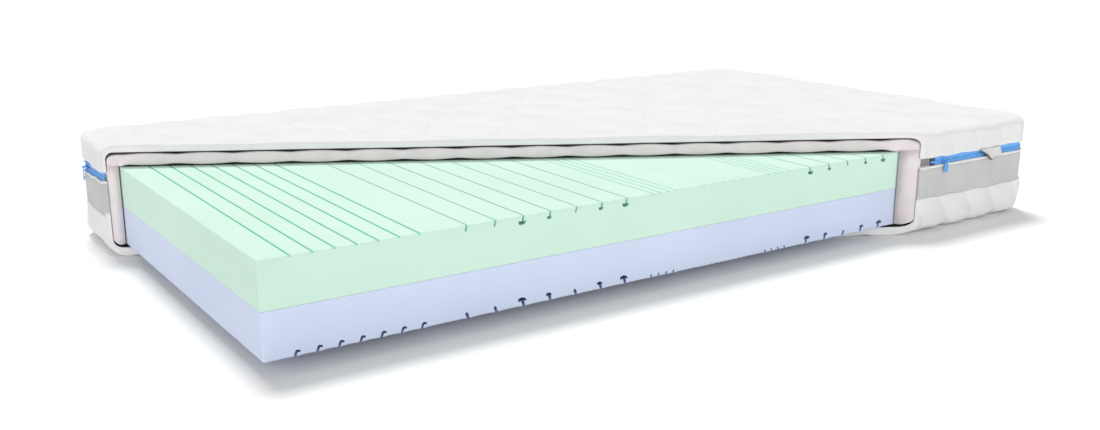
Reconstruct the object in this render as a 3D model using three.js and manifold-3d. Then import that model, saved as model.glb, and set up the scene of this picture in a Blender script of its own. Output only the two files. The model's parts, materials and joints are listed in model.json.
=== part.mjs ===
// A foam mattress with a zip-off quilted cover, shown as a cutaway: one corner of the cover and of its
// padding is sliced off, so that the whole two-layer foam core can be seen.
// Millimetres, +Z up. The origin is the centre of the underside, +X runs along the length.
import * as THREE from "three";
import { mergeVertices } from "three/addons/utils/BufferGeometryUtils.js";
import Module from "manifold-3d";

const wasm = await Module();
wasm.setup();

// Driving dimensions. An offset is a distance outwards from the side faces of the foam core.
const CORE_LENGTH = 1940;
const CORE_WIDTH = 1040;
const CORE_HEIGHT = 170;
const CORE_BOTTOM = 26;
const COVER_OFFSET = 30; // outside of the cover
const COVER_TOP = 240;
const CORNER_RADIUS = 55; // outside of the cover, in plan
const TOUCH_GAP = 0.3; // between solids that touch on the real mattress

// Borders and padding
const BORDER_INNER_OFFSET = 24;
const LOWER_BORDER_HEIGHT = 80;
const LOWER_BORDER_STEP = 42; // below this height the lower border is thicker
const LOWER_BORDER_FOOT_OFFSET = 16;
const MESH_TOP = 154.5;
const MESH_OFFSET = 28;
const BINDING_TOP = 158;
const UPPER_BORDER_BOTTOM = 174.5;
const TOP_PANEL_BOTTOM = 226;
const TOP_EDGE_BEVEL = 9;
const PAD_INNER_OFFSET = 1;
const PAD_OFFSET = 20;
const PAD_FOOT_OFFSET = 15;
const PAD_FOOT_TOP = 45;
const PAD_BOTTOM = 28;
const TOP_PAD_OFFSET = 22;
const TOP_PAD_BEVEL = 12;

// Cutaway: a vertical plane through one point of the left end and one of the front side
const CUT_LEFT_Y = 302;
const CUT_FRONT_X = 586;
const ZIP_SETBACK = 22; // the zip starts this far behind the cut, square to it

// Zip
const ZIP_HEIGHT = 165; // centre line
const ZIP_HALF_GAP = 0.5; // between the two rows of coil
const TAPE_OFFSETS = [23, 23.7];
const TAPE_REACH = 22; // from the centre line
const COIL_OFFSETS = [24, 26];
const COIL_HEIGHT = 2.2;
const STOP_X = 862;
const FLAP = { left: 793, right: 875, bottom: 147, offsets: [28.6, 30.1] };

// Sliders and pulls
const SLIDER_LENGTH = 14;
const SLIDER_HEIGHT = 12;
const BACK_PLATE_OFFSETS = [21, 22.2];
const FRONT_PLATE_OFFSETS = [26.8, 28.3];
const WEB = { length: 5, height: 0.5 };
const BRIDGE_OFFSET = 33.5; // centre line of the bar that a pull hangs on
const BRIDGE_RADIUS = 0.9;
const BRIDGE_LEGS = { from: 3.6, to: 5, height: 2 };
const FRONT_SLIDER_X = 665;
const END_SLIDER_Y = 480;
const PULL_EYE = { inner: 1.25, outer: 2.2, length: 6.4 };
const TAB = { width: 13, length: 26, thickness: 1.2 };
const RING = { radius: 4.8, wire: 0.9, drop: 25, stemWidth: 4 };

// Foam channels: shares of the core length from either end, with the depth in millimetres and the sideways
// lean of a channel's floor on the top and bottom faces
const CHANNEL_WIDTH = 3;
const END_ZONES = [
  { start: 0.0273, pitch: 0.0197, count: 7, depth: 12, topLean: 0, bottomLean: -4 },
  { start: 0.193, pitch: 0.03, count: 7, depth: 17, topLean: -5, bottomLean: -5 },
  { start: 0.405, pitch: 0.0098, count: 4, depth: 9, topLean: 0, bottomLean: 0 },
];
const CENTRE_ZONE = { start: 0.474, pitch: 0.013, count: 5, depth: 3, topLean: 0, bottomLean: 0 };

const HALF_LENGTH = CORE_LENGTH / 2;
const HALF_WIDTH = CORE_WIDTH / 2;
const CORE_TOP = CORE_BOTTOM + CORE_HEIGHT;
const LAYER_JOINT = CORE_BOTTOM + CORE_HEIGHT / 2;
const BELOW = -10; // cutting prisms start here
const ABOVE = 300; // and end here

// Solids

function solidOf(geometry) {
  geometry.deleteAttribute("normal");
  geometry.deleteAttribute("uv");
  const merged = mergeVertices(geometry, 1e-4);
  return new wasm.Manifold(
    new wasm.Mesh({
      numProp: 3,
      vertProperties: new Float32Array(merged.attributes.position.array),
      triVerts: new Uint32Array(merged.index.array),
    }),
  );
}

function geometryOf(solid) {
  const mesh = solid.getMesh();
  const geometry = new THREE.BufferGeometry();
  geometry.setAttribute("position", new THREE.BufferAttribute(mesh.vertProperties, 3));
  geometry.setIndex(new THREE.BufferAttribute(mesh.triVerts, 1));
  geometry.computeVertexNormals();
  return geometry;
}

// The core's plan outline moved out by an offset, with rounded corners
function planOutline(offset, radius) {
  const x = HALF_LENGTH + offset;
  const y = HALF_WIDTH + offset;
  const quarter = Math.PI / 2;
  const shape = new THREE.Shape();
  shape.moveTo(radius - x, -y);
  shape.lineTo(x - radius, -y);
  shape.absarc(x - radius, radius - y, radius, -quarter, 0);
  shape.lineTo(x, y - radius);
  shape.absarc(x - radius, y - radius, radius, 0, quarter);
  shape.lineTo(radius - x, y);
  shape.absarc(radius - x, y - radius, radius, quarter, 2 * quarter);
  shape.lineTo(-x, radius - y);
  shape.absarc(radius - x, radius - y, radius, 2 * quarter, 3 * quarter);
  return shape;
}

// Corners at an offset keep the centre of the cover's corner radius
function roundedOutline(offset) {
  return planOutline(offset, CORNER_RADIUS - COVER_OFFSET + offset);
}

function polygon(points) {
  return new THREE.Shape(points.map(([x, y]) => new THREE.Vector2(x, y)));
}

function prism(shape, bottom, top) {
  const options = { depth: top - bottom, bevelEnabled: false, curveSegments: 6 };
  const geometry = new THREE.ExtrudeGeometry(shape, options);
  geometry.translate(0, 0, bottom);
  return solidOf(geometry);
}

// A slab with its upper edge rounded off
function crownedSlab(offset, bottom, top, bevel) {
  const options = {
    depth: top - bottom,
    bevelThickness: bevel,
    bevelSize: bevel,
    bevelOffset: -bevel,
    bevelSegments: 3,
    curveSegments: 6,
  };
  const geometry = new THREE.ExtrudeGeometry(roundedOutline(offset), options);
  geometry.translate(0, 0, bottom - bevel);
  const underside = prism(planOutline(offset + 1, 1), bottom - 3 * bevel, bottom);
  return solidOf(geometry).subtract(underside);
}

function ring(outerShape, innerShape, bottom, top) {
  return prism(outerShape, bottom, top).subtract(prism(innerShape, BELOW, ABOVE));
}

function bandRing([inner, outer], bottom, top) {
  return ring(roundedOutline(outer), roundedOutline(inner), bottom, top);
}

// A box by its limits along the zip, its offsets outwards and its heights, for the front side
function frontBox([x0, x1], [inner, outer], [z0, z1]) {
  const geometry = new THREE.BoxGeometry(x1 - x0, outer - inner, z1 - z0);
  geometry.translate((x0 + x1) / 2, -(inner + outer) / 2, (z0 + z1) / 2);
  return geometry;
}

function barAlongX(radius, length, sides) {
  const geometry = new THREE.CylinderGeometry(radius, radius, length, sides);
  geometry.rotateZ(Math.PI / 2);
  return geometry;
}

// Cutting

const CUT_SLOPE = -(HALF_WIDTH + COVER_OFFSET + CUT_LEFT_Y) / (CUT_FRONT_X + HALF_LENGTH + COVER_OFFSET);

// Everything in front of the cut plane, moved back by a setback square to it
function cutawayWedge(setback) {
  const reach = 400;
  const left = -HALF_LENGTH - COVER_OFFSET - reach;
  const front = -HALF_WIDTH - COVER_OFFSET - reach;
  const rise = setback * Math.hypot(1, CUT_SLOPE);
  const leftY = CUT_LEFT_Y - CUT_SLOPE * reach + rise;
  const frontX = left + (front - leftY) / CUT_SLOPE;
  return prism(polygon([[left, front], [frontX, front], [left, leftY]]), BELOW, ABOVE);
}

const coverCut = cutawayWedge(0);
const zipCut = cutawayWedge(ZIP_SETBACK);

// The four sides meet at mitres through the corners, with the touching gap between them
function sideRegion(side) {
  const ridge = HALF_LENGTH - HALF_WIDTH;
  const x = HALF_LENGTH + COVER_OFFSET;
  const y = HALF_WIDTH + COVER_OFFSET;
  const corners = {
    front: [[-ridge, 0], [-x, -y], [x, -y], [ridge, 0]],
    right: [[ridge, 0], [x, -y], [x, y]],
    back: [[ridge, 0], [x, y], [-x, y], [-ridge, 0]],
    left: [[-ridge, 0], [-x, y], [-x, -y]],
  }[side];
  const [outX, outY] = { front: [0, -1], right: [1, 0], back: [0, 1], left: [-1, 0] }[side];
  const shift = TOUCH_GAP * Math.SQRT1_2;
  return prism(polygon(corners.map(([px, py]) => [px + outX * shift, py + outY * shift])), BELOW, ABOVE);
}

const SIDES = ["front", "right", "back", "left"];
const sideRegions = Object.fromEntries(SIDES.map((side) => [side, sideRegion(side)]));

// Parts

const mattress = new THREE.Group();

const materials = {
  cover: { color: 0xf4f4f3, roughness: 0.85, metalness: 0 },
  padding: { color: 0xd9d3d3, roughness: 0.95, metalness: 0 },
  mesh: { color: 0xc6c6c7, roughness: 0.9, metalness: 0 },
  binding: { color: 0xf0f0f0, roughness: 0.8, metalness: 0 },
  comfortFoam: { color: 0xd6f6e6, roughness: 0.9, metalness: 0 },
  baseFoam: { color: 0xd2dcf2, roughness: 0.9, metalness: 0 },
  zipTape: { color: 0x69ade6, roughness: 0.8, metalness: 0 },
  zipCoil: { color: 0x5b9fda, roughness: 0.45, metalness: 0 },
  slider: { color: 0x4f94d2, roughness: 0.4, metalness: 0.1 },
};

function part(name, geometry, material, parent = mattress) {
  const mesh = new THREE.Mesh(geometry, new THREE.MeshStandardMaterial(materials[material]));
  mesh.name = name;
  parent.add(mesh);
  return mesh;
}

function sideParts(name, solid, material) {
  const cut = solid.subtract(coverCut);
  for (const side of SIDES) {
    part(`${name}_${side}`, geometryOf(cut.intersect(sideRegions[side])), material);
  }
}

// Foam core

// The notches of one face's channels, as points along the length with depths below that face
function channelPoints(leanKey) {
  const centre = { ...CENTRE_ZONE, mirrored: false };
  const zones = [...END_ZONES.map((zone) => ({ ...zone, mirrored: false })), centre];
  zones.push(...END_ZONES.map((zone) => ({ ...zone, mirrored: true })));
  const notches = [];
  for (const zone of zones) {
    for (let i = 0; i < zone.count; i += 1) {
      const fromEnd = (zone.start + i * zone.pitch) * CORE_LENGTH - HALF_LENGTH;
      const x = zone.mirrored ? -fromEnd : fromEnd;
      const floorX = x + (zone.mirrored ? -zone[leanKey] : zone[leanKey]);
      notches.push({ x, floorX, depth: zone.depth });
    }
  }
  notches.sort((a, b) => a.x - b.x);
  const half = CHANNEL_WIDTH / 2;
  return notches.flatMap(({ x, floorX, depth }) => [
    [x - half, 0],
    [floorX - half, depth],
    [floorX + half, depth],
    [x + half, 0],
  ]);
}

// A foam layer, from its plain inner face to its channelled outer face
function foamLayer(innerZ, outerZ, leanKey) {
  const inward = Math.sign(innerZ - outerZ);
  const outer = channelPoints(leanKey).map(([x, depth]) => [x, outerZ + inward * depth]);
  const edge = [[-HALF_LENGTH, outerZ], ...outer, [HALF_LENGTH, outerZ]];
  const outline = polygon([[-HALF_LENGTH, innerZ], ...edge, [HALF_LENGTH, innerZ]]);
  const geometry = new THREE.ExtrudeGeometry(outline, { depth: CORE_WIDTH, bevelEnabled: false });
  geometry.rotateX(Math.PI / 2);
  geometry.translate(0, HALF_WIDTH, 0);
  return geometryOf(solidOf(geometry));
}

function addCore() {
  part("core_base_layer", foamLayer(LAYER_JOINT - TOUCH_GAP / 2, CORE_BOTTOM, "bottomLean"), "baseFoam");
  part("core_top_layer", foamLayer(LAYER_JOINT + TOUCH_GAP / 2, CORE_TOP, "topLean"), "comfortFoam");
}

// Padding

function addPadding() {
  const top = crownedSlab(TOP_PAD_OFFSET, CORE_TOP + TOUCH_GAP, TOP_PANEL_BOTTOM - TOUCH_GAP, TOP_PAD_BEVEL);
  part("top_pad", geometryOf(top.subtract(coverCut)), "padding");
  const hole = planOutline(PAD_INNER_OFFSET, PAD_INNER_OFFSET);
  const upper = ring(roundedOutline(PAD_OFFSET), hole, PAD_FOOT_TOP, CORE_TOP);
  const foot = ring(roundedOutline(PAD_FOOT_OFFSET), hole, PAD_BOTTOM, PAD_FOOT_TOP);
  sideParts("side_pad", upper.add(foot), "padding");
}

// Cover

function addLowerCover() {
  const panel = prism(roundedOutline(LOWER_BORDER_FOOT_OFFSET - TOUCH_GAP), 0, CORE_BOTTOM - TOUCH_GAP);
  part("bottom_quilt_panel", geometryOf(panel.subtract(coverCut)), "cover");
  const foot = bandRing([LOWER_BORDER_FOOT_OFFSET, COVER_OFFSET], 0, LOWER_BORDER_STEP);
  const wall = bandRing([BORDER_INNER_OFFSET, COVER_OFFSET], LOWER_BORDER_STEP, LOWER_BORDER_HEIGHT);
  sideParts("lower_border", foot.add(wall), "cover");
  const mesh = bandRing([BORDER_INNER_OFFSET, MESH_OFFSET], LOWER_BORDER_HEIGHT + TOUCH_GAP, MESH_TOP);
  sideParts("mesh_border", mesh, "mesh");
  const bindingOffsets = [BORDER_INNER_OFFSET + TOUCH_GAP, MESH_OFFSET + TOUCH_GAP];
  const binding = bandRing(bindingOffsets, MESH_TOP + TOUCH_GAP, BINDING_TOP);
  part("mesh_top_binding", geometryOf(binding.subtract(coverCut)), "binding");
}

function addUpperCover() {
  const panel = crownedSlab(COVER_OFFSET, TOP_PANEL_BOTTOM, COVER_TOP, TOP_EDGE_BEVEL);
  part("top_quilt_panel", geometryOf(panel.subtract(coverCut)), "cover");
  const borderTop = TOP_PANEL_BOTTOM - TOUCH_GAP;
  const border = bandRing([BORDER_INNER_OFFSET, COVER_OFFSET], UPPER_BORDER_BOTTOM, borderTop);
  sideParts("upper_border", border, "cover");
  const flapHeights = [FLAP.bottom, UPPER_BORDER_BOTTOM - TOUCH_GAP];
  const flap = frontBox([FLAP.left, FLAP.right], FLAP.offsets, flapHeights);
  flap.translate(0, -HALF_WIDTH, 0);
  part("zip_garage_flap", flap, "cover");
}

// Zip

// One half of the zip, above (direction 1) or below (direction -1) the centre line
function addZipHalf(name, direction) {
  const near = ZIP_HEIGHT + direction * ZIP_HALF_GAP;
  const tapeFar = ZIP_HEIGHT + direction * TAPE_REACH;
  const coilFar = near + direction * COIL_HEIGHT;
  const tape = bandRing(TAPE_OFFSETS, Math.min(near, tapeFar), Math.max(near, tapeFar));
  const coil = bandRing(COIL_OFFSETS, Math.min(near, coilFar), Math.max(near, coilFar));
  part(`${name}_zip_tape`, geometryOf(tape.subtract(zipCut)), "zipTape");
  part(`${name}_zip_coil`, geometryOf(coil.subtract(zipCut)), "zipCoil");
}

// A slider centred on its own origin, which lies on the core's side face, with its outside towards -Y
function sliderSolid() {
  const alongZip = [-SLIDER_LENGTH / 2, SLIDER_LENGTH / 2];
  const heights = [-SLIDER_HEIGHT / 2, SLIDER_HEIGHT / 2];
  const backPlate = frontBox(alongZip, BACK_PLATE_OFFSETS, heights);
  const frontPlate = frontBox(alongZip, FRONT_PLATE_OFFSETS, heights);
  const webOffsets = [BACK_PLATE_OFFSETS[0], FRONT_PLATE_OFFSETS[1]];
  const web = frontBox([-WEB.length / 2, WEB.length / 2], webOffsets, [-WEB.height / 2, WEB.height / 2]);
  const bar = barAlongX(BRIDGE_RADIUS, 2 * BRIDGE_LEGS.to, 10);
  bar.translate(0, -BRIDGE_OFFSET, 0);
  const pieces = [backPlate, frontPlate, web, bar].map(solidOf);
  for (const end of [-1, 1]) {
    const limits = [end * BRIDGE_LEGS.from, end * BRIDGE_LEGS.to].sort((a, b) => a - b);
    const legHeights = [-BRIDGE_LEGS.height / 2, BRIDGE_LEGS.height / 2];
    pieces.push(solidOf(frontBox(limits, [FRONT_PLATE_OFFSETS[0], BRIDGE_OFFSET], legHeights)));
  }
  return pieces.reduce((whole, piece) => whole.add(piece));
}

// A pull's rolled eye around the slider's bar, centred on the origin, with what hangs from it
function pullSolid(hanging) {
  const eye = solidOf(barAlongX(PULL_EYE.outer, PULL_EYE.length, 12));
  const bore = solidOf(barAlongX(PULL_EYE.inner, PULL_EYE.length + 1, 12));
  return eye.add(hanging).subtract(bore);
}

// A tab that widens below the eye and has its lower corners cut off
function pullTabSolid() {
  const half = TAB.width / 2;
  const narrow = PULL_EYE.length / 2;
  const shoulder = -2 * PULL_EYE.outer;
  const chamfer = 2;
  const rightSide = [
    [narrow, -PULL_EYE.inner],
    [narrow, shoulder],
    [half, shoulder - chamfer],
    [half, chamfer - TAB.length],
    [half - chamfer, -TAB.length],
  ];
  const leftSide = rightSide.map(([x, z]) => [-x, z]).reverse();
  const outline = polygon([...rightSide, ...leftSide]);
  const tab = new THREE.ExtrudeGeometry(outline, { depth: TAB.thickness, bevelEnabled: false });
  tab.rotateX(Math.PI / 2);
  tab.translate(0, TAB.thickness / 2, 0);
  return pullSolid(solidOf(tab));
}

// A stem that ends in a finger ring
function pullRingSolid() {
  const loop = new THREE.TorusGeometry(RING.radius, RING.wire, 8, 24);
  loop.rotateX(Math.PI / 2);
  loop.translate(0, 0, -RING.drop);
  const halfStem = RING.stemWidth / 2;
  const stemHeights = [RING.radius - RING.drop, -PULL_EYE.inner];
  const stem = frontBox([-halfStem, halfStem], [-TAB.thickness / 2, TAB.thickness / 2], stemHeights);
  return pullSolid(solidOf(loop).add(solidOf(stem)));
}

function addZip() {
  addZipHalf("upper", 1);
  addZipHalf("lower", -1);
  const stopOffsets = [COIL_OFFSETS[1] + TOUCH_GAP, FRONT_PLATE_OFFSETS[0] + 0.5];
  const stop = frontBox([STOP_X - 2, STOP_X + 2], stopOffsets, [ZIP_HEIGHT - 3, ZIP_HEIGHT + 3]);
  stop.translate(0, -HALF_WIDTH, 0);
  part("zip_end_stop", stop, "slider");

  const frontZip = new THREE.Group();
  frontZip.position.set(FRONT_SLIDER_X, -HALF_WIDTH, ZIP_HEIGHT);
  const leftZip = new THREE.Group();
  leftZip.position.set(-HALF_LENGTH, END_SLIDER_Y, ZIP_HEIGHT);
  leftZip.rotation.z = -Math.PI / 2;
  mattress.add(frontZip, leftZip);

  part("front_slider", geometryOf(sliderSolid()), "slider", frontZip);
  part("end_slider", geometryOf(sliderSolid()), "slider", leftZip);
  part("front_pull_tab", geometryOf(pullTabSolid()), "slider", frontZip).position.y = -BRIDGE_OFFSET;
  part("end_pull_ring", geometryOf(pullRingSolid()), "slider", leftZip).position.y = -BRIDGE_OFFSET;
}

addLowerCover();
addCore();
addPadding();
addUpperCover();
addZip();

export default mattress;
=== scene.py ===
"""A foam mattress shown as a cutaway: quilted zip-off cover, padding and a two-layer foam core.

Metres, in the frame of the CAD model. An "offset" is a distance outwards from the side faces of the core.
"""

import json
import math

import bpy
import numpy as np
from mathutils import Matrix, Vector, geometry

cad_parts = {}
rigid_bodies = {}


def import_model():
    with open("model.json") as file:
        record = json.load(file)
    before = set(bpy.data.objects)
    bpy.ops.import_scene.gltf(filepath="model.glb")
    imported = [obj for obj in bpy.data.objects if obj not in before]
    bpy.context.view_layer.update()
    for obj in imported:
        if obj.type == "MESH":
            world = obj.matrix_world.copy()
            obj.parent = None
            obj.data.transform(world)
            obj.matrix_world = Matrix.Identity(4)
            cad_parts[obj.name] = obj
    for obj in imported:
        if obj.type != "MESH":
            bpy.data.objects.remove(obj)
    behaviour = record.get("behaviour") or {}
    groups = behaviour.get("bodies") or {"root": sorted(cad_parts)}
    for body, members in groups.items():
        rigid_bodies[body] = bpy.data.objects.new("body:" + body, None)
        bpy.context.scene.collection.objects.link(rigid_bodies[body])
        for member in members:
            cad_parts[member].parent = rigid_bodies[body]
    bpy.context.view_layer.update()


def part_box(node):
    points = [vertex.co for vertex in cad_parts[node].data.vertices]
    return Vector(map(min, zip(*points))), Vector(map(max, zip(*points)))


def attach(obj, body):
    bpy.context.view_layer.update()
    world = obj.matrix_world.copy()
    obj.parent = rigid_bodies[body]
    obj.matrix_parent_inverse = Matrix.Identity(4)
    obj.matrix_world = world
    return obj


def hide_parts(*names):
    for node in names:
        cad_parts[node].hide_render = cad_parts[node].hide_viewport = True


for startup_object in list(bpy.data.objects):
    bpy.data.objects.remove(startup_object)

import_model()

MM = 0.001

# Sizes read from the frame

base_low, base_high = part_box("core_base_layer")
HALF_X, HALF_Y, CORE_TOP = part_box("core_top_layer")[1]
CORE_BOTTOM = base_low.z
LAYER_JOINT = base_high.z
COVER_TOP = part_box("top_quilt_panel")[1].z
COVER_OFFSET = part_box("top_quilt_panel")[1].x - HALF_X
PANEL_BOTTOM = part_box("top_quilt_panel")[0].z
HEM_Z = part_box("upper_border_right")[0].z
LOWER_HEM_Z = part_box("lower_border_right")[1].z
MESH_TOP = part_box("mesh_border_right")[1].z
MESH_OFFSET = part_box("mesh_border_right")[1].x - HALF_X
BINDING_LOW, BINDING_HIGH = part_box("mesh_top_binding")
PAD_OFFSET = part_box("side_pad_right")[1].x - HALF_X
PAD_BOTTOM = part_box("side_pad_right")[0].z
TOP_PAD_LOW, TOP_PAD_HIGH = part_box("top_pad")
FLOOR_PANEL_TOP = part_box("bottom_quilt_panel")[1].z

CORE_CORNER = 25 * MM  # plan radius of an outline with no offset, so the cover's corners are 55 mm
INNER_OFFSET = 24 * MM  # inside of the borders

# The cutaway plane passes through the inner corners of the two cut borders
CUT_FRONT = Vector((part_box("upper_border_front")[0].x, -HALF_Y - INNER_OFFSET))
CUT_LEFT = Vector((-HALF_X - INNER_OFFSET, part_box("upper_border_left")[0].y))
CUT_ALONG = (CUT_FRONT - CUT_LEFT).normalized()
CUT_BEHIND = Vector((-CUT_ALONG.y, CUT_ALONG.x))
ZIP_SETBACK = 22 * MM


def smooth(value, start, end):
    """0 at start, 1 at end, with an even slope between."""
    share = np.clip((np.asarray(value, float) - start) / (end - start), 0, 1)
    return share * share * (3 - 2 * share)


def unit(vectors):
    """The rows scaled to length 1."""
    return vectors / np.maximum(np.linalg.norm(vectors, axis=1), 1e-12)[:, None]


def behind_cut(x, y):
    """Distance behind the cutaway plane."""
    return (x - CUT_LEFT.x) * CUT_BEHIND.x + (y - CUT_LEFT.y) * CUT_BEHIND.y


def along_cut(x, y):
    return (x - CUT_LEFT.x) * CUT_ALONG.x + (y - CUT_LEFT.y) * CUT_ALONG.y


# The path round the mattress, from the cut on the front side to the cut on the left end


class Path:
    """Stations round the core. At an offset, a station lies at base + offset * out, so that its ends stay on
    the cut plane whatever the offset is."""

    def __init__(self, spacing, corner_steps, setback=0.0):
        slope = CUT_ALONG.y / CUT_ALONG.x
        self.left_setback = setback / CUT_ALONG.x
        front_x = CUT_FRONT.x + (CUT_FRONT.y + HALF_Y) / -slope - self.left_setback / slope
        left_y = CUT_LEFT.y + (-HALF_X - CUT_LEFT.x) * slope + self.left_setback
        corner_x = HALF_X - CORE_CORNER
        corner_y = HALF_Y - CORE_CORNER
        base, out = [], []

        def straight(start, end, start_out, end_out):
            length = (Vector(end) - Vector(start)).length
            steps = max(2, round(length / spacing))
            for i in range(1 if base else 0, steps + 1):
                t = i / steps
                base.append(Vector(start).lerp(Vector(end), t))
                out.append(Vector(start_out).lerp(Vector(end_out), t))

        def corner(centre, start_angle):
            for i in range(1, corner_steps + 1):
                angle = start_angle + i / corner_steps * math.pi / 2
                ray = Vector((math.cos(angle), math.sin(angle)))
                base.append(Vector(centre) + CORE_CORNER * ray)
                out.append(ray)

        straight((front_x, -HALF_Y), (corner_x, -HALF_Y), (-1 / slope, -1), (0, -1))
        corner((corner_x, -corner_y), -math.pi / 2)
        straight((HALF_X, -corner_y), (HALF_X, corner_y), (1, 0), (1, 0))
        corner((corner_x, corner_y), 0)
        straight((corner_x, HALF_Y), (-corner_x, HALF_Y), (0, 1), (0, 1))
        corner((-corner_x, corner_y), math.pi / 2)
        straight((-HALF_X, corner_y), (-HALF_X, left_y), (-1, 0), (-1, -slope))
        self.base = np.array(base)
        self.out = np.array(out)
        self.count = len(base)
        outside = self.at(COVER_OFFSET)
        steps = np.linalg.norm(np.diff(outside, axis=0), axis=1)
        self.run = np.concatenate([[0], np.cumsum(steps)])

    def at(self, offset):
        """Plan positions at one offset, or at one offset for each station."""
        offset = np.broadcast_to(offset, self.count)
        return self.base + offset[:, None] * self.out

    def from_cut(self):
        """Distance along the path from the nearer of its two cut ends."""
        return np.minimum(self.run, self.run[-1] - self.run)

    def zip_gap(self):
        """How far each half of the zip gapes on either side of the end slider."""
        start_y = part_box("end_slider")[0].y - 80 * MM
        left_end_y = self.at(COVER_OFFSET)[-1][1]
        beyond = (self.run[-1] - self.run) - (start_y - left_end_y)
        return 6 * MM * smooth(beyond, 0, 45 * MM) * (1 - smooth(beyond, 150 * MM, 240 * MM))

    def rise(self):
        """How much higher the zip runs near the cut on the left end."""
        return 7 * MM * (1 - smooth(self.run[-1] - self.run + self.left_setback, 8 * MM, 46 * MM))

    def core_clearance(self, gap):
        """Offsets that keep a gap from the core, whose corners are square."""
        ray = unit(self.out)
        square = (CORE_CORNER + gap) / np.maximum(abs(ray[:, 0]), abs(ray[:, 1])) - CORE_CORNER
        slanted = abs(ray).min(axis=1) > 1e-6
        on_corner = slanted & (abs(np.linalg.norm(self.out, axis=1) - 1) < 1e-6)
        return np.where(on_corner, square, gap)


# Mesh making


def mesh_object(name, points, faces, materials, tags=None, uvs=None):
    """A smooth-shaded mesh. tags gives each face's material, uvs one pair for each face corner, in metres."""
    mesh = bpy.data.meshes.new(name)
    mesh.from_pydata([tuple(p) for p in points], [], faces)
    for material in materials:
        mesh.materials.append(material)
    if tags is not None:
        mesh.polygons.foreach_set("material_index", np.asarray(tags, np.int32))
    layer = mesh.uv_layers.new(name="cloth")
    if uvs is not None:
        layer.data.foreach_set("uv", np.asarray(uvs, np.float32).ravel())
    mesh.polygons.foreach_set("use_smooth", np.ones(len(mesh.polygons), bool))
    mesh.validate()
    mesh.update()
    thing = bpy.data.objects.new(name, mesh)
    bpy.context.scene.collection.objects.link(thing)
    return thing


def vertex_normals(points, faces):
    triangles = np.array([(f[0], f[i], f[i + 1]) for f in faces for i in range(1, len(f) - 1)])
    a, b, c = (points[triangles[:, i]] for i in range(3))
    face_normals = np.cross(b - a, c - a)
    normals = np.zeros_like(points)
    for i in range(3):
        np.add.at(normals, triangles[:, i], face_normals)
    return unit(normals)


CUT_ROWS = (2 * MM, 5 * MM, 11 * MM)  # how far behind the cut a panel has its own rows of points


class Skin:
    """One face of a quilted shell: a triangulated panel behind the cut, with rim rings down its edge.

    The panel's first vertices are the path's stations at the join offset, which the rings continue."""

    def __init__(self, path, join, spacing, rings, flip=False):
        self.path = path
        edge = path.at(join)
        cut_length = np.linalg.norm(edge[0] - edge[-1])
        steps = round(cut_length / spacing)
        cut_line = [edge[-1] + (edge[0] - edge[-1]) * i / steps for i in range(1, steps)]
        boundary = [*edge, *cut_line]
        inside = self.inside(join, spacing, np.array(cut_line))
        flat = [Vector(p) for p in [*boundary, *inside]]
        count = len(boundary)
        edges = [(i, (i + 1) % count) for i in range(count)]
        made = geometry.delaunay_2d_cdt(flat, edges, [], 1, 1e-7, False)
        self.plan = np.array(made[0])
        on_cut = {0, path.count - 1, *range(path.count, count)}
        kept = [face for face in made[2] if not on_cut.issuperset(face)]  # no slivers along the cut
        triangles = [tuple(f) if not flip else tuple(reversed(f)) for f in kept]
        self.panel_faces = len(triangles)
        stations = path.count
        total = len(self.plan)
        faces = triangles
        previous = list(range(stations))
        for ring in range(rings):
            current = list(range(total + ring * stations, total + (ring + 1) * stations))
            for i in range(stations - 1):
                quad = (previous[i + 1], previous[i], current[i], current[i + 1])
                faces.append(quad if not flip else tuple(reversed(quad)))
            previous = current
        self.faces = faces
        self.stations = stations
        off_path = np.zeros(total - stations, int)
        self.station = np.concatenate([np.arange(stations), off_path, *[np.arange(stations)] * rings])
        self.on_panel = np.arange(len(self.station)) < total

    def inside(self, join, spacing, cut_line):
        """A staggered grid of points that keeps clear of the panel's edges, and rows that follow the cut."""
        margin = 0.55 * spacing
        reach_x, reach_y = HALF_X + join, HALF_Y + join
        row_height = spacing * math.sqrt(3) / 2
        rows = np.arange(-reach_y + margin, reach_y - margin, row_height)
        columns = np.arange(-reach_x + margin, reach_x - margin, spacing)
        x, y = np.meshgrid(columns, rows)
        x = x + (np.arange(len(rows)) % 2)[:, None] * spacing / 2
        x, y = x.ravel(), y.ravel()
        away = behind_cut(x, y) > CUT_ROWS[-1] + margin
        rows = [cut_line + distance * np.array(CUT_BEHIND) for distance in CUT_ROWS]
        x, y = np.concatenate([np.stack([x[away], y[away]], axis=1), *rows]).T
        corner = CORE_CORNER + join
        past_x = np.maximum(abs(x) - (reach_x - corner), 0)
        past_y = np.maximum(abs(y) - (reach_y - corner), 0)
        clear = np.hypot(past_x, past_y) < corner - margin
        clear &= (abs(x) < reach_x - margin) & (abs(y) < reach_y - margin)
        return np.stack([x[clear], y[clear]], axis=1)

    def points(self, panel_z, profile):
        """Positions for a panel height and a list of (offset, z), one for each ring. Values may be arrays
        over the panel or over the stations."""
        panel = np.column_stack([self.plan, np.broadcast_to(panel_z, len(self.plan))])
        rings = []
        for offset, z in profile:
            rings.append(np.column_stack([self.path.at(offset), np.broadcast_to(z, self.stations)]))
        return np.concatenate([panel, *rings])

    def corner_uvs(self, points):
        """Plan coordinates on the panel, run and height on the rim."""
        uvs = []
        for index, face in enumerate(self.faces):
            on_rim = index >= self.panel_faces
            for vertex in face:
                x, y, z = points[vertex]
                uvs.append((self.path.run[self.station[vertex]], z) if on_rim else (x, y))
        return uvs


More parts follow.
